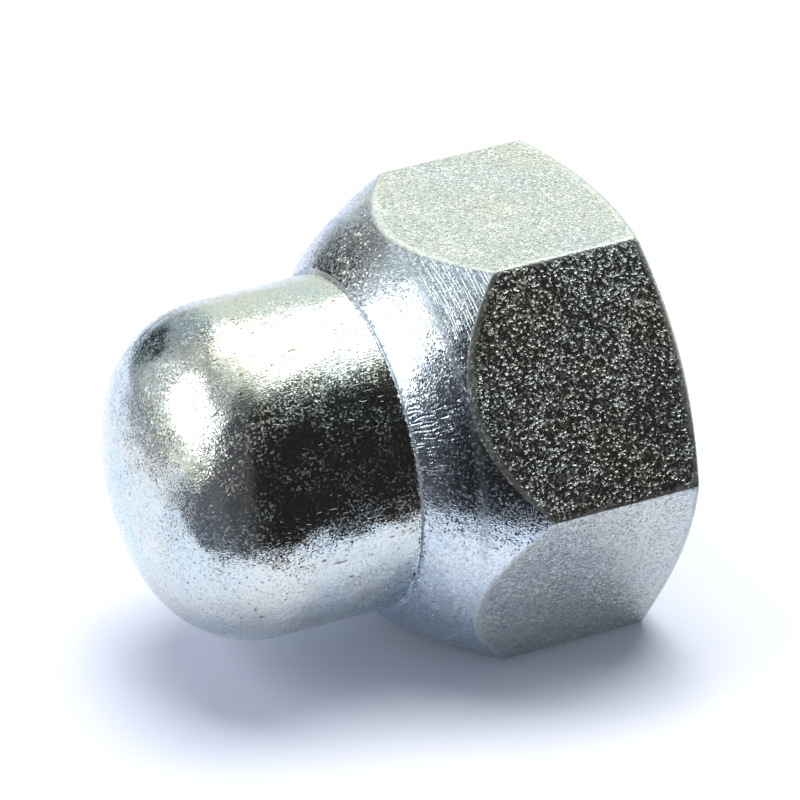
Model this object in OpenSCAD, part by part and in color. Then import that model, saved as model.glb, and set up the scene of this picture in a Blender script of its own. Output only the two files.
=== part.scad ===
// Domed cap nut: a hexagon body with a closed threaded hole.
//
// The nut lies on one of its flats, as it comes to rest. Z is up, the origin is on the
// surface it lies on, under the middle of its length, and the thread's axis runs along X.
// The bearing face looks toward +X and the dome toward -X.
//
// It is worked out standing on its bearing face, with heights measured from that face, and
// is laid down at the end. One turned outline, cut to a hexagon, gives the whole outside.

/* [Hexagon] */
// Width across the flats, in mm
across_flats = 19; // [18.8:0.1:19.4]
// Height at which the dome side chamfer meets the middle of a flat, in mm
flat_height = 10.1; // [9.9:0.1:10.4]
// Diameter of the bearing face, inside its chamfer, in mm
bearing_face_d = 18; // [17:0.1:18.5]
// Angle of the bearing side chamfer, from the face, in degrees
bearing_chamfer_angle = 23; // [15:1:30]
// Angle of the dome side chamfer, from the axis, in degrees
dome_chamfer_angle = 31; // [28:1:33]

/* [Shoulder] */
// Diameter at which the rounded shoulder starts, at a faint edge, in mm
shoulder_d = 18.7; // [18.2:0.1:18.7]
// Angle of the shoulder's surface at that edge, from the axis, in degrees
shoulder_start_angle = 35; // [34:0.5:37]
// Height of the neck, where the shoulder reaches the barrel, in mm
neck_height = 12.4; // [12:0.1:12.6]
// Radius of the small hollow between the shoulder and the barrel, in mm
neck_fillet_r = 0.4; // [0.2:0.05:0.6]

/* [Dome] */
// Diameter of the straight barrel under the dome, in mm
barrel_d = 14.9; // [14.4:0.1:15.2]
// Radius of the rounded corner between the barrel and the crown, in mm
corner_r = 4.65; // [4:0.05:5.5]
// Radius of the flatter crown at the end, in mm
crown_r = 11; // [10:0.5:14]
// Height of the whole nut, in mm
nut_height = 22.9; // [22:0.1:25]

/* [Thread] */
// Diameter of the hole that the M12 thread is tapped in, in mm
tap_drill_d = 10.2; // [10.1:0.1:10.5]
// Depth of the hole, without the cone that the drill's point leaves, in mm
hole_depth = 16; // [14:0.5:17]
// Diameter of the countersink at the mouth, in mm
countersink_d = 12.9; // [12.2:0.1:13.4]
// Included angle of the countersink, in degrees
countersink_angle = 120; // [90:5:120]

/* [Hidden] */

$fn = 180;

// Included angle of a common twist drill's point, in degrees
drill_point_angle = 118;
// How far a cutting shape runs past the surface that it cuts
past = 1;
// How far two outlines overlap where they join at an edge
overlap = 0.1;
// Curves that run smoothly into each other cross by this much, so that no gap is left
blend = 0.002;

flat_r = across_flats / 2;
hexagon_r = flat_r / cos(30);
bearing_r = bearing_face_d / 2;
shoulder_r = shoulder_d / 2;
barrel_r = barrel_d / 2;

// Radius and height along the straight line of the dome side chamfer
function chamfer_r(height) = flat_r + (flat_height - height) * tan(dome_chamfer_angle);
function chamfer_height(radius) = flat_height + (flat_r - radius) / tan(dome_chamfer_angle);

// The turned outline runs out to this radius, clear of the hexagon's corners
rim_r = hexagon_r + past;
rim_low = (rim_r - bearing_r) * tan(bearing_chamfer_angle);

// The shoulder is one arc, from its faint edge to the neck
shoulder_height = chamfer_height(shoulder_r);
shoulder_step = shoulder_r - barrel_r;
shoulder_rise = neck_height - shoulder_height;
shoulder_turn = 2 * (atan2(shoulder_step, shoulder_rise) - shoulder_start_angle);
shoulder_arc_r = norm([shoulder_step, shoulder_rise]) / 2 / sin(shoulder_turn / 2);
shoulder_centre = [
    shoulder_r - shoulder_arc_r * cos(shoulder_start_angle),
    shoulder_height - shoulder_arc_r * sin(shoulder_start_angle)
];

// The hollow's circle touches the shoulder's arc from outside, and the barrel
fillet_reach = shoulder_arc_r + neck_fillet_r;
fillet_r = barrel_r + neck_fillet_r;
fillet_height = shoulder_centre[1] + sqrt(pow(fillet_reach, 2) - pow(fillet_r - shoulder_centre[0], 2));
fillet_centre = [fillet_r, fillet_height];
fillet_touch = shoulder_centre + (fillet_centre - shoulder_centre) * shoulder_arc_r / fillet_reach;

// The rounded corner's circle touches the barrel, and the crown's circle from inside
corner_centre_r = barrel_r - corner_r;
crown_centre_height = nut_height - crown_r;
centre_gap = crown_r - corner_r + blend;
barrel_top = crown_centre_height + sqrt(pow(centre_gap, 2) - pow(corner_centre_r, 2));
crown_edge_r = corner_centre_r * crown_r / centre_gap;

module between_heights(low, high, reach) {
    translate([0, low]) square([reach, high - low]);
}

// Bearing face, both chamfers and the rounded shoulder
module body_outline() {
    intersection() {
        polygon([
            [0, 0],
            [bearing_r, 0],
            [rim_r, rim_low],
            [rim_r, chamfer_height(rim_r)],
            [chamfer_r(neck_height), neck_height],
            [0, neck_height]
        ]);
        union() {
            between_heights(-past, shoulder_height - overlap, rim_r + past);
            translate(shoulder_centre) circle(r = shoulder_arc_r);
        }
    }
}

// The hollow at the neck is filled metal, less a circle
module fillet_outline() {
    difference() {
        polygon([[0, shoulder_height], fillet_touch, fillet_centre, [barrel_r, fillet_height], [0, fillet_height]]);
        translate(fillet_centre) circle(r = neck_fillet_r + blend);
    }
}

// Barrel, rounded corner and crown
module dome_outline() {
    intersection() {
        between_heights(neck_height - overlap, nut_height + past, barrel_r + past);
        translate([0, crown_centre_height]) circle(r = crown_r);
        union() {
            between_heights(0, barrel_top, barrel_r);
            between_heights(0, nut_height + past, crown_edge_r);
            translate([corner_centre_r, barrel_top]) circle(r = corner_r);
        }
    }
}

module hexagon_bar() {
    rotate([0, 0, 30])
    translate([0, 0, -past]) cylinder(r = hexagon_r, h = nut_height + 2 * past, $fn = 6);
}

// Drilled and countersunk hole, with the cone that the drill's point leaves at its end
module thread_hole() {
    hole_r = tap_drill_d / 2;
    mouth_r = countersink_d / 2;
    mouth_depth = (mouth_r - hole_r) / tan(countersink_angle / 2);
    flare = past * tan(countersink_angle / 2);

    rotate_extrude()
    polygon([
        [0, -past],
        [mouth_r + flare, -past],
        [hole_r, mouth_depth],
        [hole_r, hole_depth],
        [0, hole_depth + hole_r / tan(drill_point_angle / 2)]
    ]);
}

module cap_nut() {
    color([0.76, 0.79, 0.8])
    translate([nut_height / 2, 0, flat_r])
    rotate([0, -90, 0])
    difference() {
        intersection() {
            rotate_extrude() {
                body_outline();
                fillet_outline();
                dome_outline();
            }
            hexagon_bar();
        }
        thread_hole();
    }
}

cap_nut();
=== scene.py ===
from math import acos, atan2, cos, hypot, pi, radians, sin, sqrt, tan

import bpy
from mathutils import Matrix, Vector


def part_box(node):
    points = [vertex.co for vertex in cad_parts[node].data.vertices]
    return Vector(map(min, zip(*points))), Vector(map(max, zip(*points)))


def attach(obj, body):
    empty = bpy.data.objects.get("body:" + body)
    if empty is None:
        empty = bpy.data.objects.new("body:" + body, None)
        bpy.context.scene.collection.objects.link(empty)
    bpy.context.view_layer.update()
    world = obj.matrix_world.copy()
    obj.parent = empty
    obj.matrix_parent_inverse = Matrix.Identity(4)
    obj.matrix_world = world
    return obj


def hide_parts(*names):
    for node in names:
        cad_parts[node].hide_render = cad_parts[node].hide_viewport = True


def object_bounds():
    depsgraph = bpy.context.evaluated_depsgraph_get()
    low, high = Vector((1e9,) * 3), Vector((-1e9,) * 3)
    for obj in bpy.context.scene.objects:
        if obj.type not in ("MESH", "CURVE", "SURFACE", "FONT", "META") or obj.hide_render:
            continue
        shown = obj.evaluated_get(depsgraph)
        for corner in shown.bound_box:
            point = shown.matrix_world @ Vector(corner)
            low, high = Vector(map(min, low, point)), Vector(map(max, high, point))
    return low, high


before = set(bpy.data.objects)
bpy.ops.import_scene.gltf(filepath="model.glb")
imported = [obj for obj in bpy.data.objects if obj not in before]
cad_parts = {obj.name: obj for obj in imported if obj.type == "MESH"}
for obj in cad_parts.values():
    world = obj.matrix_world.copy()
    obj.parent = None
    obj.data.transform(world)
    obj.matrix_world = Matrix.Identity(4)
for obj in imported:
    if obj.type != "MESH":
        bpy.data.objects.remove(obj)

cad_low, cad_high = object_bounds()

# ---------------------------------------------------------------------------
# Camera
# The nut is seen from its dome's end and from above, through a long lens.
# ---------------------------------------------------------------------------

mm = 0.001
azimuth = radians(-24.975)
elevation = radians(28.166)
roll = radians(-1.851)
distance = 283.17 * mm
# The lens looks a little past the nut's middle, and above its axis
aim = (cad_low + cad_high) / 2 + Vector((1.9, 0.27, 1.16)) * mm

back = Vector((sin(azimuth) * cos(elevation), -cos(azimuth) * cos(elevation), sin(elevation)))
level = Vector((cos(azimuth), sin(azimuth), 0))
right = cos(roll) * level + sin(roll) * back.cross(level)
up = back.cross(right)

lens = bpy.data.cameras.new("camera")
lens.lens = 293.3
lens.sensor_width = 36
lens.clip_start = 10 * mm
camera = bpy.data.objects.new("camera", lens)
turned = Matrix((right, up, back)).transposed().to_4x4()
camera.matrix_world = Matrix.Translation(aim + back * distance) @ turned
bpy.context.scene.collection.objects.link(camera)
bpy.context.scene.camera = camera
bpy.context.scene.view_settings.view_transform = "Standard"

# ---------------------------------------------------------------------------
# Table and studio light
# A pale table under two soft boxes, one above and behind, one at the left, and a third that
# lights the table alone. Black, grey and pale boards round the nut, which only a gloss shows,
# give the bright metal a studio to mirror.
# ---------------------------------------------------------------------------


def colour(text):
    """A hex sRGB colour as a linear one."""
    parts = [int(text[i : i + 2], 16) / 255 for i in (1, 3, 5)]
    return (*(c / 12.92 if c <= 0.04045 else ((c + 0.055) / 1.055) ** 2.4 for c in parts), 1)


def add(tree, kind, inputs=(), **settings):
    """Adds a node with its settings, fills its inputs with values or links, and gives its first output.

    Inputs are a dict by name or number, or a list in the node's own order.
    """
    node = tree.nodes.new(kind)
    for name, value in settings.items():
        setattr(node, name, value)
    for key, value in inputs.items() if isinstance(inputs, dict) else enumerate(inputs):
        if isinstance(value, bpy.types.NodeSocket):
            tree.links.new(value, node.inputs[key])
        else:
            node.inputs[key].default_value = value
    return node.outputs[0] if node.outputs else None


# Where a colour Mix node has its share, its two colours and its result
SHARE, FIRST, SECOND, MIXED = 0, 6, 7, 2


def new_material(name):
    """An empty material, with its node tree."""
    material = bpy.data.materials.new(name)
    material.use_nodes = True
    material.node_tree.nodes.clear()
    return material, material.node_tree


def board(name, corners, faces, material):
    """A flat or bent board, as a stage object."""
    mesh = bpy.data.meshes.new(name)
    mesh.from_pydata(corners, [], faces)
    mesh.materials.append(material)
    made = bpy.data.objects.new(name, mesh)
    bpy.context.scene.collection.objects.link(made)
    return made


# Bluish white matt paint. The lens and every gloss see it a little brighter than the lamps light
# it, so that it is plain white outside the nut's shadow.
table_paint, tree = new_material("bluish_white_table_paint")
path = add(tree, "ShaderNodeLightPath").node.outputs
seen = add(tree, "ShaderNodeMath", [path["Is Camera Ray"], path["Is Glossy Ray"]], operation="MAXIMUM")
seen = add(tree, "ShaderNodeMath", [seen, path["Is Transmission Ray"]], operation="MAXIMUM")
glow = add(tree, "ShaderNodeMath", [seen, 0.05], operation="MULTIPLY")
paint = add(tree, "ShaderNodeBsdfDiffuse", {"Color": colour("#F0F2F7")})
shine = add(tree, "ShaderNodeEmission", {"Color": colour("#FFFFFF"), "Strength": glow})
both = add(tree, "ShaderNodeAddShader", [paint, shine])
add(tree, "ShaderNodeOutputMaterial", {"Surface": both})

table_reach = 0.3
table_z = cad_low.z
table_corners = [
    (-table_reach, -table_reach, table_z),
    (table_reach, -table_reach, table_z),
    (table_reach, table_reach, table_z),
    (-table_reach, table_reach, table_z),
]
board("table", table_corners, [(0, 1, 2, 3)], table_paint)

# Warm white room for the lens and every gloss, but dim and blue for what it lights, which is what
# tints the nut's shadow
world = bpy.data.worlds.new("white_room")
bpy.context.scene.world = world
world.use_nodes = True
tree = world.node_tree
tree.nodes.clear()
path = add(tree, "ShaderNodeLightPath").node.outputs
lit = add(tree, "ShaderNodeMath", [path["Diffuse Depth"], 1.0], operation="MINIMUM")
room = add(tree, "ShaderNodeMix", {
    SHARE: lit, FIRST: colour("#F6FBF0"), SECOND: colour("#586682"),
}, data_type="RGBA")
room = add(tree, "ShaderNodeBackground", {"Color": room.node.outputs[MIXED], "Strength": 1.0})
add(tree, "ShaderNodeOutputWorld", {"Surface": room})

centre = (cad_low + cad_high) / 2


def soft_box(name, turn, rise, far, width, height, power, shade="#FFFFFF"):
    """An area lamp that faces the nut from an azimuth and an elevation."""
    lamp = bpy.data.lights.new(name, "AREA")
    lamp.shape = "RECTANGLE"
    lamp.color = colour(shade)[:3]
    lamp.size, lamp.size_y = width, height
    lamp.energy = power
    made = bpy.data.objects.new(name, lamp)
    turn, rise = radians(turn), radians(rise)
    way = Vector((sin(turn) * cos(rise), -cos(turn) * cos(rise), sin(rise)))
    made.location = centre + way * far
    made.rotation_euler = way.to_track_quat("Z", "Y").to_euler()
    made.visible_camera = False
    bpy.context.scene.collection.objects.link(made)
    return made


above = soft_box(
    "soft_box_above", turn=122, rise=65, far=0.30, width=0.36, height=0.19, power=0.44, shade="#FFFFF6",
)
above.visible_diffuse = False
soft_box(
    "soft_box_left", turn=-104, rise=33, far=0.30, width=0.195, height=0.19, power=0.42, shade="#F0F0FF",
)
# A third lights the table only, so that the nut's shadow falls in front of it, and no gloss shows it
table_lamp = soft_box(
    "soft_box_for_table", turn=122, rise=80, far=0.60, width=0.50, height=0.50, power=4.4,
)
table_lamp.visible_glossy = False


def gloss_board(name, edge, shade, top_shade=None, fades=0.0):
    """A board bent round the nut, which only a gloss shows.

    Each edge entry is an azimuth, then the board's foot and its top: an elevation and how far off.
    Above the height fades, in millimetres, shade turns to top_shade by the board's top.
    """
    corners = []
    for turn, foot, top in edge:
        for rise, far in (foot, top):
            way = Vector((sin(radians(turn)), -cos(radians(turn)), tan(radians(rise))))
            corners.append(centre + way * far * mm)
    faces = [(i, i + 2, i + 3, i + 1) for i in range(0, len(corners) - 2, 2)]

    material, tree = new_material(name + "_paint")
    if top_shade:
        place = add(tree, "ShaderNodeTexCoord").node.outputs["Object"]
        height = add(tree, "ShaderNodeSeparateXYZ", [place]).node.outputs["Z"]
        highest = max(corner.z for corner in corners)
        height = add(tree, "ShaderNodeMapRange", [height, fades * mm, highest])
        paint = add(tree, "ShaderNodeMix", {
            SHARE: height, FIRST: colour(shade), SECOND: colour(top_shade),
        }, data_type="RGBA").node.outputs[MIXED]
    else:
        paint = colour(shade)
    shine = add(tree, "ShaderNodeEmission", {"Color": paint})
    add(tree, "ShaderNodeOutputMaterial", {"Surface": shine})
    made = board(name, corners, faces, material)
    made.visible_camera = made.visible_diffuse = made.visible_shadow = False


# In front and on the right: what the front flat and the barrel's dark band mirror
near_foot = (-20, 23)
gloss_board("black_board", [
    (-40, near_foot, (78, 23)),
    (0, near_foot, (78, 23)),
    (35, near_foot, (76, 23)),
    (62, near_foot, (72, 23)),
], "#2A2725", top_shade="#C8CAC4", fades=42)
gloss_board("dark_grey_board", [
    (-60, near_foot, (76, 23)),
    (-40, near_foot, (78, 23)),
], "#54555A", top_shade="#C8CAC4", fades=42)
# On the left: what turns the dome grey beside its highlight
gloss_board("grey_board_left", [
    (-94, (-10, 23), (0, 25)),
    (-86, (-14, 23), (2, 25)),
    (-78, near_foot, (12, 40)),
    (-70, near_foot, (30, 60)),
    (-66, near_foot, (60, 45)),
    (-60, near_foot, (76, 23)),
], "#6C6E78", top_shade="#C8CAC4", fades=42)
gloss_board("grey_board_low_left", [(-146, (-6, 60), (7, 60)), (-106, (-6, 60), (7, 60))], "#9CA0A6")
gloss_board("pale_board_left", [(-146, (7, 60), (58, 60)), (-123, (7, 60), (58, 60))], "#D2D5D4")
gloss_board("grey_board_over_left", [
    (-142, (54, 60), (64, 60)),
    (-105, (54, 60), (70, 60)),
    (-72, (50, 60), (74, 60)),
], "#B4B8BC")
# Behind: what the dome's far side and the shoulder mirror
gloss_board("grey_board_back", [
    (-185, (1, 60), (46, 60)),
    (-166, (0, 60), (58, 60)),
    (-146, (0, 60), (58, 60)),
], "#AAAEB2", top_shade="#BEC2C0", fades=20)
gloss_board("dark_board_back", [(-172, (3, 55), (20, 55)), (-150, (2, 55), (28, 55))], "#303438")

# ---------------------------------------------------------------------------
# Cap nut
# One piece of steel, cold formed from hexagon bar, turned at its shoulder and bearing face,
# drilled, tapped M12 x 1.75 and then zinc plated and clear passivated.
# ---------------------------------------------------------------------------

nut_low, nut_high = (Vector(corner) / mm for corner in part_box("cap_nut"))
nut_height = nut_high.x - nut_low.x
half_flats = (nut_high.z - nut_low.z) / 2
corner_reach = half_flats / cos(pi / 6)

# Sizes in millimetres, with heights from the bearing face
flat_height = 10.1
bearing_r = 9.0
bearing_slope = tan(radians(23))
dome_slope = 1 / tan(radians(31))
shoulder_r = 9.35
shoulder_start = radians(35)
neck_height = 12.4
neck_fillet = 0.12
lip_r = 0.07
lip_turn = radians(78)
barrel_r = 7.45
corner_r = 4.65
crown_r = 11.0
tap_hole_r = 5.1
hole_depth = 16.0
drill_slope = tan(radians(59))
countersink_r = 6.45
countersink_slope = tan(radians(60))
thread_r = 6.0
pitch = 1.75
crest_flat = 0.49
# The tap cuts to its full depth down to here, and its tapered end runs out over the next stretch
thread_depth = 13.5
run_out = 1.5
# Within this depth the thread can be seen, and is cut more finely
seen_depth = 6.0

# What each stretch of the outline is finished as
THREAD, BEARING, FLAT, SHOULDER, DOME = range(5)


def straight(start, end, steps):
    """Points from start up to, but not including, end."""
    return [start.lerp(end, i / steps) for i in range(steps)]


def bend(before, corner, after, radius, steps):
    """The corner rounded to a radius, as points from one tangent to the other."""
    to_before, to_after = (before - corner).normalized(), (after - corner).normalized()
    half = to_before.angle(to_after) / 2
    middle = corner + (to_before + to_after).normalized() * (radius / sin(half))
    first = corner + to_before * (radius / tan(half)) - middle
    last = corner + to_after * (radius / tan(half)) - middle
    whole = first.angle(last)
    points = []
    for i in range(steps + 1):
        t = i / steps
        points.append(middle + (first * sin((1 - t) * whole) + last * sin(t * whole)) / sin(whole))
    return points


def sweep(middle, radius, start, end, steps):
    """An arc from one angle to the other. The angle is measured from the outward radius."""
    turns = [start + (end - start) * i / steps for i in range(steps + 1)]
    return [middle + Vector((sin(a), cos(a))) * radius for a in turns]


def outline(reach):
    """Half the nut's section where its hexagon is as far out as reach: (height, radius, finish, room).

    Room is how far along a flat a point is from the nearer chamfer.
    """
    # How far from a flat's middle to a hexagon's corner this section is
    share = (reach - half_flats) / (corner_reach - half_flats)
    made = []

    def run(points, finish, room=0.0):
        made.extend((p.x, p.y, finish, room) for p in points)

    # Hole, from the drill's point to the mouth
    point_end = Vector((hole_depth + tap_hole_r / drill_slope, 0))
    hole_end = Vector((hole_depth, tap_hole_r))
    seen_end = Vector((seen_depth, tap_hole_r))
    mouth_end = Vector(((countersink_r - tap_hole_r) / countersink_slope, tap_hole_r))
    mouth = Vector((0, countersink_r))
    run(straight(point_end, hole_end, steps=6), THREAD)
    run(straight(hole_end, seen_end, steps=84), THREAD)
    run(straight(seen_end, mouth_end, steps=104), THREAD)
    run(straight(mouth_end, mouth, steps=16)[:-1], THREAD)

    # Bearing face and its chamfer. Points close beside a rounding keep what is flat there flat.
    close = 0.05
    clear = 0.15
    face_end = Vector((0, bearing_r))
    low = Vector(((reach - bearing_r) * bearing_slope, reach))
    high = Vector((flat_height - (reach - half_flats) * dome_slope, reach))
    shoulder = Vector((flat_height + (half_flats - shoulder_r) * dome_slope, shoulder_r))

    run(bend(mouth_end, mouth, face_end, radius=0.06, steps=3), BEARING)
    run(straight(mouth + Vector((0, clear)), face_end - Vector((0, clear)), steps=6), BEARING)
    face_edge = bend(mouth, face_end, low, radius=0.25, steps=4)
    low_edge = bend(face_end, low, high, radius=0.3 - 0.1 * share, steps=6)
    run(face_edge, BEARING)
    run(straight(face_edge[-1], low_edge[0], steps=4)[1:], BEARING)

    # Flat, whose roundings are tighter at the hexagon's corners
    high_edge = bend(low, high, shoulder, radius=0.45 - 0.2 * share, steps=8)
    run(low_edge, FLAT)
    flat = straight(low_edge[-1], high_edge[0], steps=16)[1:]
    for p in [low_edge[-1] + Vector((close, 0)), *flat, high_edge[0] - Vector((close, 0))]:
        run([p], FLAT, min(p.x - low_edge[-1].x, high_edge[0].x - p.x))
    run(high_edge, FLAT)

    # Chamfer, with its points crowded towards both ends
    run([high_edge[-1].lerp(shoulder, t) for t in (0.08, 0.3, 0.55, 0.8, 0.95)], SHOULDER)

    # The shoulder's arc, from its faint edge down towards the neck
    step, rise = shoulder_r - barrel_r, neck_height - shoulder.x
    whole = 2 * (atan2(step, rise) - shoulder_start)
    arc_r = hypot(step, rise) / 2 / sin(whole / 2)
    middle = shoulder - Vector((sin(shoulder_start), cos(shoulder_start))) * arc_r
    # It ends in a small lip that rolls over, and a hollow joins that to the barrel
    lip_end = barrel_r + neck_fillet * (1 - cos(lip_turn))
    rolls = acos((lip_end - middle.y - lip_r * cos(lip_turn)) / (arc_r - lip_r))
    lip = middle + Vector((sin(rolls), cos(rolls))) * (arc_r - lip_r)
    hollow = lip + Vector((sin(lip_turn), cos(lip_turn))) * (lip_r + neck_fillet)
    run(sweep(middle, arc_r, shoulder_start, rolls, steps=16), SHOULDER)
    run(sweep(lip, lip_r, rolls, lip_turn, steps=5)[1:], SHOULDER)
    run(sweep(hollow, neck_fillet, pi + lip_turn, pi, steps=8)[1:], SHOULDER)

    # Barrel, rounded corner and crown
    centre_r = barrel_r - corner_r
    crown_x = nut_height - crown_r
    corner_x = crown_x + sqrt((crown_r - corner_r) ** 2 - centre_r ** 2)
    turn = atan2(centre_r, corner_x - crown_x)
    start = Vector((hollow.x + close, barrel_r))
    run(straight(start, Vector((corner_x, barrel_r)), steps=12), DOME)
    run(sweep(Vector((corner_x, centre_r)), corner_r, 0, pi / 2 - turn, steps=26), DOME)
    run(sweep(Vector((crown_x, 0)), crown_r, pi / 2 - turn, pi / 2, steps=14)[1:], DOME)
    return made


axis_z = (nut_low.z + nut_high.z) / 2


def zinc_skin(tree, height, roughness, tints, facet, tilt, marks_and_painted_shade=0.0, smudge=0.0):
    """Bright zinc under its clear passivate, which tints it faintly. Height and facet are in millimetres.

    Its crystals each lean their own way by up to tilt, so each mirrors something else, and some are
    dull or dark: the eye sees a fine sparkle. The dull ones gather in patches as smudge rises from
    0 to 1. Marks turn the colour brown, and so does painted shade where a caller passes it in. Real
    crystals are a hundredth of a millimetre across or less, and these are drawn several times coarser
    so that they show.
    """
    place = add(tree, "ShaderNodeTexCoord").node.outputs["Object"]
    size = add(tree, "ShaderNodeMapping", {
        "Vector": place, "Scale": (facet * mm,) * 3,
    }, vector_type="TEXTURE")
    crystal = add(tree, "ShaderNodeTexVoronoi", {"Vector": size, "Scale": 1.0}).node.outputs["Color"]
    own = add(tree, "ShaderNodeSeparateColor", [crystal]).node.outputs
    lean = add(tree, "ShaderNodeVectorMath", [crystal, (0.5, 0.5, 0.5)], operation="SUBTRACT")
    # From one patch 1.6 mm across to the next, they lean more or less, and are more or less dull
    size = add(tree, "ShaderNodeMapping", {
        "Vector": place, "Scale": (1.6 * mm,) * 3,
    }, vector_type="TEXTURE")
    spread = add(tree, "ShaderNodeTexNoise", {"Vector": size, "Scale": 1.0, "Detail": 2.0})
    patchy = add(tree, "ShaderNodeMapRange", [spread, 0.36, 0.64, 0.5, 1.4])
    much = add(tree, "ShaderNodeMath", [own["Blue"], 1.5], operation="POWER")
    much = add(tree, "ShaderNodeMath", [much, patchy], operation="MULTIPLY")
    much = add(tree, "ShaderNodeMath", [much, tilt], operation="MULTIPLY")
    lean = add(tree, "ShaderNodeVectorMath", {"Vector": lean, "Scale": much}, operation="SCALE")
    facing = add(tree, "ShaderNodeNewGeometry").node.outputs["Normal"]
    facing = add(tree, "ShaderNodeVectorMath", [facing, lean], operation="ADD")
    facing = add(tree, "ShaderNodeVectorMath", [facing], operation="NORMALIZE")
    normal = add(tree, "ShaderNodeBump", {
        "Strength": 1.0, "Distance": mm, "Height": height, "Normal": facing,
    })

    # The passivate's tint drifts from one colour to the other in clouds 5 mm across
    size = add(tree, "ShaderNodeMapping", {"Vector": place, "Scale": (5 * mm,) * 3}, vector_type="TEXTURE")
    cloud = add(tree, "ShaderNodeTexNoise", {"Vector": size, "Scale": 1.0, "Detail": 3.0})
    tint = add(tree, "ShaderNodeValToRGB", [cloud])
    for spot, position, shade in zip(tint.node.color_ramp.elements, (0.35, 0.65), tints):
        spot.position = position
        spot.color = colour(shade)
    dark = add(tree, "ShaderNodeMapRange", [own["Green"], 0.7, 1.0, 1.0, 0.7])
    tint = add(tree, "ShaderNodeVectorMath", {"Vector": tint, "Scale": dark}, operation="SCALE")
    # Brown for real marks, and for painted shade where a caller passes it in
    tint = add(tree, "ShaderNodeMix", {
        SHARE: marks_and_painted_shade, FIRST: tint, SECOND: colour("#857A70"),
    }, data_type="RGBA").node.outputs[MIXED]
    gather = add(tree, "ShaderNodeMapRange", [spread, 0.4, 0.6, 1.0 - smudge, 1.0 + smudge])
    dull = add(tree, "ShaderNodeMapRange", [own["Red"], 0.7, 1.0, 0.0, 0.42])
    dull = add(tree, "ShaderNodeMath", [dull, gather], operation="MULTIPLY")
    roughness = add(tree, "ShaderNodeMath", [dull, roughness], operation="ADD")
    metal = add(tree, "ShaderNodeBsdfPrincipled",
                {"Base Color": tint, "Metallic": 1.0, "Roughness": roughness, "Normal": normal})
    add(tree, "ShaderNodeOutputMaterial", {"Surface": metal})


# Zinc on the hexagon's flats, over the steel bar's pitted skin. Each pit's wall mirrors light on one
# side, so a flat that faces the dark is covered in glints, and one that faces the light looks
# frosted. Towards its edges a flat has been rolled smooth and dull.
grainy_flats, tree = new_material("zinc_on_grainy_bar_flats")
place = add(tree, "ShaderNodeTexCoord").node.outputs["Object"]
inside = add(tree, "ShaderNodeAttribute", attribute_name="inside").node.outputs["Fac"]
# Pits 0.165 mm across, each its own depth, pushed out of round
size = add(tree, "ShaderNodeMapping", {"Vector": place, "Scale": (0.165 * mm,) * 3}, vector_type="TEXTURE")
push = add(tree, "ShaderNodeTexNoise", {"Vector": size, "Scale": 1.6, "Detail": 0.0}).node.outputs["Color"]
size = add(tree, "ShaderNodeVectorMath", [push, (0.7, 0.7, 0.7), size], operation="MULTIPLY_ADD")
pit = add(tree, "ShaderNodeTexVoronoi", {"Vector": size, "Scale": 1.0})
own = add(tree, "ShaderNodeSeparateColor", [pit.node.outputs["Color"]])
wall = add(tree, "ShaderNodeMapRange", [pit, 0.1, 0.55, 1.0, 0.0], interpolation_type="SMOOTHSTEP")
# The smooth edge is about 0.1 mm wide beside the rounded one, and comes and goes
size = add(tree, "ShaderNodeMapping", {"Vector": place, "Scale": (3 * mm,) * 3}, vector_type="TEXTURE")
swell = add(tree, "ShaderNodeTexNoise", {"Vector": size, "Scale": 1.0, "Detail": 1.0})
wavy = add(tree, "ShaderNodeMath", [swell, 0.4, inside], operation="MULTIPLY_ADD")
inner = add(tree, "ShaderNodeMapRange", [wavy, 0.23, 0.39])
deep = add(tree, "ShaderNodeMapRange", [own, 0.1, 0.7, -0.002, -0.05])
deep = add(tree, "ShaderNodeMath", [deep, inner], operation="MULTIPLY")
height = add(tree, "ShaderNodeMath", [wall, deep], operation="MULTIPLY")
height = add(tree, "ShaderNodeMath", [swell, 0.05, height], operation="MULTIPLY_ADD")
dull = add(tree, "ShaderNodeMapRange", [wavy, 0.23, 0.43, 0.46, 0.24])
zinc_skin(tree, height, dull, ["#CDD6DA", "#D8DBD6"], facet=0.08, tilt=0.55)

# Zinc on the pressed dome and barrel, which the die left smooth: it mirrors the studio clearly, with
# a fine grain that breaks up each reflection's edge, swells that bend it, scuffs that mostly run
# lengthwise, and a few brown pits
pressed_dome, tree = new_material("zinc_on_pressed_dome")
place = add(tree, "ShaderNodeTexCoord").node.outputs["Object"]
size = add(tree, "ShaderNodeMapping", {"Vector": place, "Scale": (0.065 * mm,) * 3}, vector_type="TEXTURE")
grain = add(tree, "ShaderNodeTexNoise", {"Vector": size, "Scale": 1.0, "Detail": 0.0})
height = add(tree, "ShaderNodeMath", [grain, 0.006], operation="MULTIPLY")
size = add(tree, "ShaderNodeMapping", {"Vector": place, "Scale": (1.1 * mm,) * 3}, vector_type="TEXTURE")
swell = add(tree, "ShaderNodeTexNoise", {"Vector": size, "Scale": 1.0, "Detail": 0.0})
height = add(tree, "ShaderNodeMath", [swell, 0.06, height], operation="MULTIPLY_ADD")
size = add(tree, "ShaderNodeMapping", {
    "Vector": place, "Scale": (0.35 * mm, 0.13 * mm, 0.13 * mm),
}, vector_type="TEXTURE")
pit = add(tree, "ShaderNodeTexNoise", {"Vector": size, "Scale": 1.0, "Detail": 0.0})
pit = add(tree, "ShaderNodeMapRange", [pit, 0.75, 0.81])
height = add(tree, "ShaderNodeMath", [pit, -0.008, height], operation="MULTIPLY_ADD")
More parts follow.
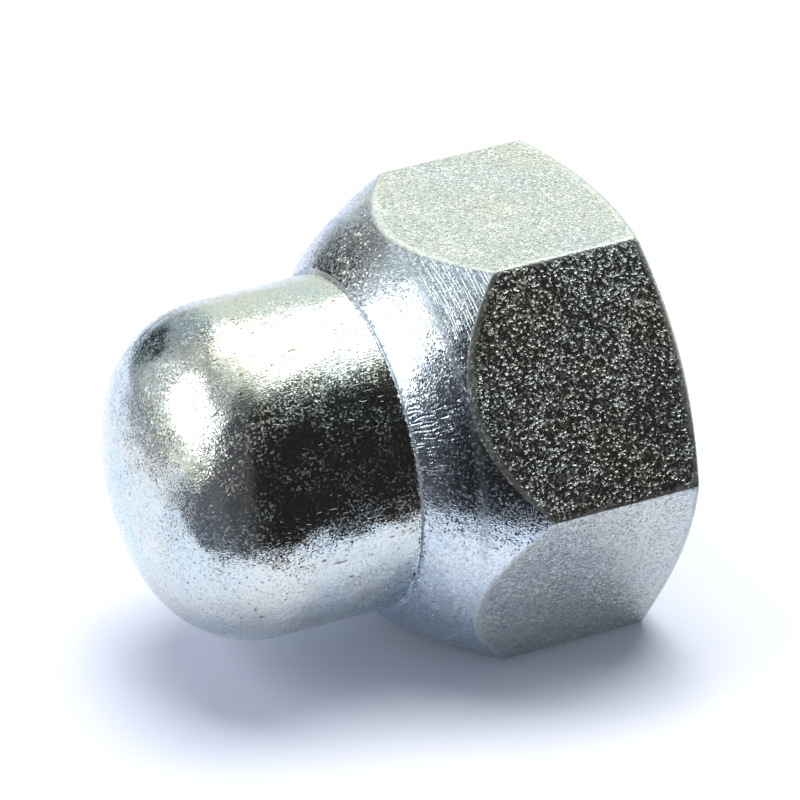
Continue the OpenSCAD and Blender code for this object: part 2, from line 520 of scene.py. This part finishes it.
for lean, sparse in (((0, 0, 0), 0.68), ((0.9, 0.8, 2.0), 0.72), ((0.4, 1.1, 1.2), 0.72)):
    size = add(tree, "ShaderNodeMapping", {
        "Vector": place, "Rotation": lean, "Scale": (0.7 * mm, 0.06 * mm, 0.06 * mm),
    }, vector_type="TEXTURE")
    scuff = add(tree, "ShaderNodeTexNoise", {"Vector": size, "Scale": 1.0, "Detail": 0.0})
    scuff = add(tree, "ShaderNodeMapRange", [scuff, sparse, sparse + 0.1])
    height = add(tree, "ShaderNodeMath", [scuff, -0.002, height], operation="MULTIPLY_ADD")
zinc_skin(tree, height, 0.11, ["#C6D8E0", "#D8DAD3"], facet=0.075, tilt=0.32, marks_and_painted_shade=pit, smudge=0.65)

# Zinc on the turned shoulder and its chamfer: a fine grain, and rings from the tool that show as
# fine lines round the chamfer. There are a dull edge where the two meet, a patch of short dashes
# across the rings where the jaws slipped, and a patch where the nut was knocked, whose colour is
# darkened with painted shade.
turned_shoulder, tree = new_material("zinc_on_turned_shoulder")
place = add(tree, "ShaderNodeTexCoord").node.outputs["Object"]
size = add(tree, "ShaderNodeMapping", {"Vector": place, "Scale": (0.065 * mm,) * 3}, vector_type="TEXTURE")
grain = add(tree, "ShaderNodeTexNoise", {"Vector": size, "Scale": 1.0, "Detail": 0.0})
height = add(tree, "ShaderNodeMath", [grain, 0.008], operation="MULTIPLY")
size = add(tree, "ShaderNodeMapping", {"Vector": place, "Scale": (1.2 * mm,) * 3}, vector_type="TEXTURE")
swell = add(tree, "ShaderNodeTexNoise", {"Vector": size, "Scale": 1.0, "Detail": 0.0})
height = add(tree, "ShaderNodeMath", [swell, 0.03, height], operation="MULTIPLY_ADD")
centred = add(tree, "ShaderNodeMapping", {"Vector": place, "Location": (0, 0, -axis_z * mm)})
axes = add(tree, "ShaderNodeSeparateXYZ", [centred]).node.outputs
forward = add(tree, "ShaderNodeMath", [axes["Y"], -1.0], operation="MULTIPLY")
turn = add(tree, "ShaderNodeMath", [axes["Z"], forward], operation="ARCTAN2")
# The surface is unrolled at a radius about halfway up the shoulder
unrolled_r = 8.5 * mm
round_way = add(tree, "ShaderNodeMath", [turn, unrolled_r], operation="MULTIPLY")
unrolled = add(tree, "ShaderNodeCombineXYZ", [axes["X"], round_way])
outward = add(tree, "ShaderNodeVectorMath", [centred, (0, 1, 1)], operation="MULTIPLY")
radius = add(tree, "ShaderNodeVectorMath", [outward], operation="LENGTH").node.outputs["Value"]
# Rings, strongest on the chamfer
size = add(tree, "ShaderNodeMapping", {
    "Vector": unrolled, "Scale": (0.07 * mm, 1.5 * mm, mm),
}, vector_type="TEXTURE")
ring = add(tree, "ShaderNodeTexNoise", {"Vector": size, "Scale": 1.0, "Detail": 1.0}, noise_dimensions="2D")
ring = add(tree, "ShaderNodeMapRange", [ring, 0.52, 0.7])
depth = add(tree, "ShaderNodeMapRange", [radius, shoulder_r * mm, (shoulder_r + 0.3) * mm, -0.001, -0.005])
height = add(tree, "ShaderNodeMath", [ring, depth, height], operation="MULTIPLY_ADD")
# Dashes run from the neck outwards, 0.19 mm apart. They sway and break up.
dash_gap = 0.19 * mm
size = add(tree, "ShaderNodeMapping", {
    "Vector": unrolled, "Scale": (0.5 * mm, 0.4 * mm, mm),
}, vector_type="TEXTURE")
sway = add(tree, "ShaderNodeTexNoise", {"Vector": size, "Scale": 1.0, "Detail": 1.0}, noise_dimensions="2D")
dash = add(tree, "ShaderNodeMath", [round_way, dash_gap], operation="DIVIDE")
dash = add(tree, "ShaderNodeMath", [sway, 1.0, dash], operation="MULTIPLY_ADD")
dash = add(tree, "ShaderNodeMath", [dash, 0.5], operation="PINGPONG")
dash = add(tree, "ShaderNodeMapRange", [dash, 0.1, 0.4])
size = add(tree, "ShaderNodeMapping", {
    "Vector": unrolled, "Scale": (0.5 * mm, 0.2 * mm, mm),
}, vector_type="TEXTURE")
broken = add(tree, "ShaderNodeTexNoise", {
    "Vector": size, "Scale": 1.0, "Detail": 0.0,
}, noise_dimensions="2D")
broken = add(tree, "ShaderNodeMapRange", [broken, 0.42, 0.58])
dash = add(tree, "ShaderNodeMath", [dash, broken], operation="MULTIPLY")
# They are deepest, and brown, in one patch
patch = (-0.8 * mm, radians(24) * unrolled_r, 0)
away = add(tree, "ShaderNodeVectorMath", [unrolled, patch], operation="DISTANCE").node.outputs["Value"]
depth = add(tree, "ShaderNodeMapRange", [away, 1.3 * mm, 2.6 * mm, -0.012, -0.0005])
height = add(tree, "ShaderNodeMath", [dash, depth, height], operation="MULTIPLY_ADD")
wear_and_painted_shade = add(tree, "ShaderNodeMapRange", [away, 1.3 * mm, 2.6 * mm, 0.6, 0.0])
wear_and_painted_shade = add(tree, "ShaderNodeMath", [wear_and_painted_shade, dash], operation="MULTIPLY")
# Dull rings: the shoulder's edge, and the lip at the neck
edge = add(tree, "ShaderNodeMath", [radius, -(shoulder_r + 0.05) * mm], operation="ADD")
edge = add(tree, "ShaderNodeMath", [edge], operation="ABSOLUTE")
edge = add(tree, "ShaderNodeMapRange", [edge, 0.02 * mm, 0.2 * mm, 0.3, 0.14])
neck = add(tree, "ShaderNodeMath", [radius, -(barrel_r + 0.1) * mm], operation="ADD")
neck = add(tree, "ShaderNodeMath", [neck], operation="ABSOLUTE")
neck = add(tree, "ShaderNodeMapRange", [neck, 0.03 * mm, 0.08 * mm, 0.75, 0.14])
dull = add(tree, "ShaderNodeMath", [edge, neck], operation="MAXIMUM")
# Its crystals lean most at the lip, and where it was knocked, a patch that also has painted shade darkening
# its colour
knock = (0.1 * mm, radians(96) * unrolled_r, 0)
away = add(tree, "ShaderNodeVectorMath", [unrolled, knock], operation="DISTANCE").node.outputs["Value"]
tilt = add(tree, "ShaderNodeMapRange", [away, 1.2 * mm, 2.6 * mm, 1.5, 0.32])
# Painted shade: the knocked patch's colour is darkened towards brown
painted_knock_shade = add(tree, "ShaderNodeMapRange", [away, 1.2 * mm, 2.6 * mm, 0.5, 0.0])
# Brown from the dashes' wear, together with the painted shade over the knocked patch
wear_and_painted_shade = add(tree, "ShaderNodeMath", [wear_and_painted_shade, painted_knock_shade], operation="MAXIMUM")
lip = add(tree, "ShaderNodeMapRange", [radius, (barrel_r + 0.18) * mm, (barrel_r + 0.28) * mm, 1.5, 0.0])
tilt = add(tree, "ShaderNodeMath", [tilt, lip], operation="MAXIMUM")
zinc_skin(tree, height, dull, ["#C4D4E2", "#D0DADE"], facet=0.08, tilt=tilt, marks_and_painted_shade=wear_and_painted_shade)

# Zinc on the faced end of the nut, where the tool's fine rings show as faint circles round the hole
faced_steel, tree = new_material("zinc_on_faced_bearing")
place = add(tree, "ShaderNodeTexCoord").node.outputs["Object"]
centred = add(tree, "ShaderNodeMapping", {"Vector": place, "Location": (0, 0, -axis_z * mm)})
outward = add(tree, "ShaderNodeVectorMath", [centred, (0, 1, 1)], operation="MULTIPLY")
radius = add(tree, "ShaderNodeVectorMath", [outward], operation="LENGTH").node.outputs["Value"]
size = add(tree, "ShaderNodeMath", [radius, 0.1 * mm], operation="DIVIDE")
ring = add(tree, "ShaderNodeTexNoise", {"W": size, "Scale": 1.0, "Detail": 2.0}, noise_dimensions="1D")
height = add(tree, "ShaderNodeMath", [ring, 0.03], operation="MULTIPLY")
zinc_skin(tree, height, 0.24, ["#CDD6DA", "#D8DBD6"], facet=0.1, tilt=0.3)

# Zinc on the cut thread and the drilled hole: duller than the outside, and torn a little along its
# flanks, which softens what they mirror
cut_thread, tree = new_material("zinc_on_cut_thread")
place = add(tree, "ShaderNodeTexCoord").node.outputs["Object"]
size = add(tree, "ShaderNodeMapping", {
    "Vector": place, "Scale": (0.08 * mm, 1.5 * mm, 1.5 * mm),
}, vector_type="TEXTURE")
ring = add(tree, "ShaderNodeTexNoise", {"Vector": size, "Scale": 1.0, "Detail": 1.0})
height = add(tree, "ShaderNodeMath", [ring, 0.012], operation="MULTIPLY")
zinc_skin(tree, height, 0.28, ["#C4CCD0", "#CFD2CE"], facet=0.1, tilt=0.3)

# The section at a flat's middle, with how far each point moves on the way to the hexagon's corner
at_flat, at_corner = outline(half_flats), outline(corner_reach)
pairs = list(zip(at_flat, at_corner))
face_x = nut_high.x
section = bpy.data.meshes.new("nut_section")
section.from_pydata([((face_x - h) * mm, r * mm, 0) for h, r, _, _ in at_flat], [], [])
slide = []
for flat, corner in pairs:
    slide += [(flat[0] - corner[0]) * mm, (corner[1] - flat[1]) * mm, 0]
section.attributes.new("slide", "FLOAT_VECTOR", "POINT").data.foreach_set("vector", slide)
for name, values in {
    "finish": [flat[2] for flat, _ in pairs],
    "room": [flat[3] for flat, _ in pairs],
    "room_slide": [corner[3] - flat[3] for flat, corner in pairs],
}.items():
    section.attributes.new(name, "FLOAT", "POINT").data.foreach_set("value", values)


def new_tree(name, sockets):
    """A geometry tree that takes and gives a shape, and its input sockets."""
    tree = bpy.data.node_groups.new(name, "GeometryNodeTree")
    tree.interface.new_socket("Geometry", in_out="INPUT", socket_type="NodeSocketGeometry")
    for socket, kind in sockets.items():
        tree.interface.new_socket(socket, in_out="INPUT", socket_type=kind)
    tree.interface.new_socket("Geometry", in_out="OUTPUT", socket_type="NodeSocketGeometry")
    return tree, tree.nodes.new("NodeGroupInput").outputs


# Geometry tree: the section is turned round the axis, and slides out to follow the hexagon
blank_tree, given = new_tree("hexagon_nut_blank", {
    "Columns a Side": "NodeSocketInt",
    "Half Flats": "NodeSocketFloat",
    "Corner Cut": "NodeSocketFloat",
    "Axis": "NodeSocketVector",
})
tree = blank_tree
stations = add(tree, "GeometryNodeAttributeDomainSize", [given["Geometry"]])
columns = add(tree, "ShaderNodeMath", [given["Columns a Side"], 6.0, 1.0], operation="MULTIPLY_ADD")
shape = add(tree, "GeometryNodeMeshGrid", {"Vertices X": columns, "Vertices Y": stations})
index = add(tree, "GeometryNodeInputIndex")
column = add(tree, "FunctionNodeIntegerMath", [index, stations], operation="DIVIDE_FLOOR")
station = add(tree, "FunctionNodeIntegerMath", [index, stations], operation="FLOORED_MODULO")

# Columns crowd together at the hexagon's corners, where it bends most
side = add(tree, "ShaderNodeMath", [column, given["Columns a Side"]], operation="DIVIDE")
swing = add(tree, "ShaderNodeMath", [side], operation="FRACT")
swing = add(tree, "ShaderNodeMath", [swing, pi, -pi / 2], operation="MULTIPLY_ADD")
swing = add(tree, "ShaderNodeMath", [swing], operation="SINE")
lean = add(tree, "ShaderNodeMath", [swing, pi / 6], operation="MULTIPLY")
side = add(tree, "ShaderNodeMath", [side], operation="FLOOR")
angle = add(tree, "ShaderNodeMath", [side, pi / 3, pi / 6], operation="MULTIPLY_ADD")
angle = add(tree, "ShaderNodeMath", [angle, lean], operation="ADD")

# How far out the hexagon is in this column, with its corners rounded off
half = given["Half Flats"]
sharp_corner = add(tree, "ShaderNodeMath", [half, cos(pi / 6)], operation="DIVIDE")
cut_corner = add(tree, "ShaderNodeMath", [sharp_corner, given["Corner Cut"]], operation="SUBTRACT")
blend = add(tree, "ShaderNodeMath", [given["Corner Cut"], 3.0], operation="MULTIPLY")
reach = add(tree, "ShaderNodeMath", [lean], operation="COSINE")
reach = add(tree, "ShaderNodeMath", [half, reach], operation="DIVIDE")
reach = add(tree, "ShaderNodeMath", [reach, cut_corner, blend], operation="SMOOTH_MIN")
share = add(tree, "ShaderNodeMapRange", [reach, half, sharp_corner], clamp=False)

place = add(tree, "GeometryNodeInputPosition")
place = add(tree, "GeometryNodeSampleIndex", [given["Geometry"], place, station], data_type="FLOAT_VECTOR")
move = add(tree, "GeometryNodeInputNamedAttribute", ["slide"], data_type="FLOAT_VECTOR")
move = add(tree, "GeometryNodeSampleIndex", [given["Geometry"], move, station], data_type="FLOAT_VECTOR")
move = add(tree, "ShaderNodeVectorMath", {"Vector": move, "Scale": share}, operation="SCALE")
place = add(tree, "ShaderNodeVectorMath", [place, move], operation="ADD")
place = add(tree, "ShaderNodeVectorRotate", {"Vector": place, "Angle": angle}, rotation_type="X_AXIS")
place = add(tree, "ShaderNodeVectorMath", [place, given["Axis"]], operation="ADD")

# What the finishes read: which one it is, and how far in from a flat's nearest edge, in millimetres
held = {}
for name in ("finish", "room", "room_slide"):
    value = add(tree, "GeometryNodeInputNamedAttribute", [name])
    held[name] = add(tree, "GeometryNodeSampleIndex", [given["Geometry"], value, station])
lengthwise = [held["room_slide"], share, held["room"]]
lengthwise = add(tree, "ShaderNodeMath", lengthwise, operation="MULTIPLY_ADD")
crosswise = add(tree, "ShaderNodeMath", [lean], operation="TANGENT")
crosswise = add(tree, "ShaderNodeMath", [crosswise], operation="ABSOLUTE")
crosswise = add(tree, "ShaderNodeMath", [tan(pi / 6), crosswise], operation="SUBTRACT")
crosswise = add(tree, "ShaderNodeMath", [crosswise, half], operation="MULTIPLY")
crosswise = add(tree, "ShaderNodeMath", [crosswise, mm], operation="DIVIDE")
inside = add(tree, "ShaderNodeMath", [lengthwise, crosswise], operation="MINIMUM")
for name, value in (("finish", held["finish"]), ("inside", inside)):
    shape = add(tree, "GeometryNodeStoreNamedAttribute", {"Geometry": shape, "Name": name, "Value": value})

weld = 0.0005 * mm
shape = add(tree, "GeometryNodeSetPosition", {"Geometry": shape, "Position": place})
shape = add(tree, "GeometryNodeMergeByDistance", {"Geometry": shape, "Distance": weld})
shape = add(tree, "GeometryNodeFlipFaces", [shape])
shape = add(tree, "GeometryNodeSetShadeSmooth", [shape])
shape = add(tree, "GeometryNodeRealizeInstances", [shape])
# A face between two finishes averages their numbers, and takes the later finish
just_past = 0.25
for number, material in enumerate((cut_thread, faced_steel, grainy_flats, turned_shoulder, pressed_dome)):
    reached = add(tree, "GeometryNodeInputNamedAttribute", ["finish"])
    reached = add(tree, "ShaderNodeMath", [reached, number - 1 + just_past], operation="GREATER_THAN")
    shape = add(tree, "GeometryNodeSetMaterial", {
        "Geometry": shape, "Selection": reached, "Material": material,
    })
add(tree, "NodeGroupOutput", {"Geometry": shape})

# Geometry tree: a right-hand metric thread is cut into the hole's wall
thread_tree, given = new_tree("tapped_thread", {
    "Pitch": "NodeSocketFloat",
    "Crest Radius": "NodeSocketFloat",
    "Root Radius": "NodeSocketFloat",
    "Crest Flat": "NodeSocketFloat",
    "Full Depth": "NodeSocketFloat",
    "Run Out": "NodeSocketFloat",
    "Mouth": "NodeSocketVector",
})
tree = thread_tree
place = add(tree, "GeometryNodeInputPosition")
place = add(tree, "ShaderNodeVectorMath", [place, given["Mouth"]], operation="SUBTRACT")
axes = add(tree, "ShaderNodeSeparateXYZ", [place]).node.outputs
depth = add(tree, "ShaderNodeMath", [axes["X"], -1.0], operation="MULTIPLY")
outward = add(tree, "ShaderNodeVectorMath", [place, (0, 1, 1)], operation="MULTIPLY")
radius = add(tree, "ShaderNodeVectorMath", [outward], operation="LENGTH").node.outputs["Value"]
outward = add(tree, "ShaderNodeVectorMath", [outward], operation="NORMALIZE")

# How far along the axis this point is from the nearest crest, and so up the thread's flank
turn = add(tree, "ShaderNodeMath", [axes["Z"], axes["Y"]], operation="ARCTAN2")
turn = add(tree, "ShaderNodeMath", [turn, 2 * pi], operation="DIVIDE")
laps = add(tree, "ShaderNodeMath", [depth, given["Pitch"]], operation="DIVIDE")
laps = add(tree, "ShaderNodeMath", [laps, turn], operation="ADD")
from_crest = add(tree, "ShaderNodeMath", [laps, 0.5], operation="PINGPONG")
from_crest = add(tree, "ShaderNodeMath", [from_crest, given["Pitch"]], operation="MULTIPLY")
up_flank = add(tree, "ShaderNodeMath", [given["Crest Flat"], -0.5, from_crest], operation="MULTIPLY_ADD")
up_flank = add(tree, "ShaderNodeMath", [up_flank, 0.0], operation="MAXIMUM")
form = add(tree, "ShaderNodeMath", [up_flank, sqrt(3), given["Crest Radius"]], operation="MULTIPLY_ADD")
form = add(tree, "ShaderNodeMath", [form, given["Root Radius"]], operation="MINIMUM")

# The cut fades out where the tap's tapered end stopped
end = add(tree, "ShaderNodeMath", [given["Full Depth"], given["Run Out"]], operation="ADD")
strength = add(tree, "ShaderNodeMapRange", [depth, given["Full Depth"], end, 1.0, 0.0])
cut = add(tree, "ShaderNodeMath", [form, radius], operation="SUBTRACT")
cut = add(tree, "ShaderNodeMath", [cut, 0.0], operation="MAXIMUM")
cut = add(tree, "ShaderNodeMath", [cut, strength], operation="MULTIPLY")
cut = add(tree, "ShaderNodeVectorMath", {"Vector": outward, "Scale": cut}, operation="SCALE")
in_hole = add(tree, "GeometryNodeInputNamedAttribute", ["finish"])
in_hole = add(tree, "ShaderNodeMath", [in_hole, THREAD + just_past], operation="LESS_THAN")
shape = add(tree, "GeometryNodeSetPosition", {
    "Geometry": given["Geometry"], "Selection": in_hole, "Offset": cut,
})
shape = add(tree, "GeometryNodeRealizeInstances", [shape])
shape = add(tree, "GeometryNodeSetMaterial", {
    "Geometry": shape, "Selection": in_hole, "Material": cut_thread,
})
add(tree, "NodeGroupOutput", {"Geometry": shape})


def add_tree(piece, tree, values):
    """Puts a geometry tree on a piece and sets its named inputs."""
    modifier = piece.modifiers.new(tree.name, "NODES")
    modifier.node_group = tree
    for item in tree.interface.items_tree:
        if item.item_type == "SOCKET" and item.in_out == "INPUT" and item.name in values:
            modifier[item.identifier] = values[item.name]


blank = bpy.data.objects.new("nut_blank", section)
bpy.context.scene.collection.objects.link(blank)
add_tree(blank, blank_tree, {
    "Columns a Side": 44,
    "Half Flats": half_flats * mm,
    "Corner Cut": 0.03 * mm,
    "Axis": (0, 0, axis_z * mm),
})
add_tree(blank, thread_tree, {
    "Pitch": pitch * mm,
    "Crest Radius": tap_hole_r * mm,
    "Root Radius": thread_r * mm,
    "Crest Flat": crest_flat * mm,
    "Full Depth": thread_depth * mm,
    "Run Out": run_out * mm,
    "Mouth": (face_x * mm, 0, axis_z * mm),
})

shape = bpy.data.meshes.new_from_object(blank.evaluated_get(bpy.context.evaluated_depsgraph_get()))
bpy.data.objects.remove(blank)
# The grid that the first tree starts from leaves an empty material slot in front of the finishes
shape.materials.pop(index=0)
nut = bpy.data.objects.new("cap_nut_body", shape)
bpy.context.scene.collection.objects.link(nut)
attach(nut, "root")
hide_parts("cap_nut")
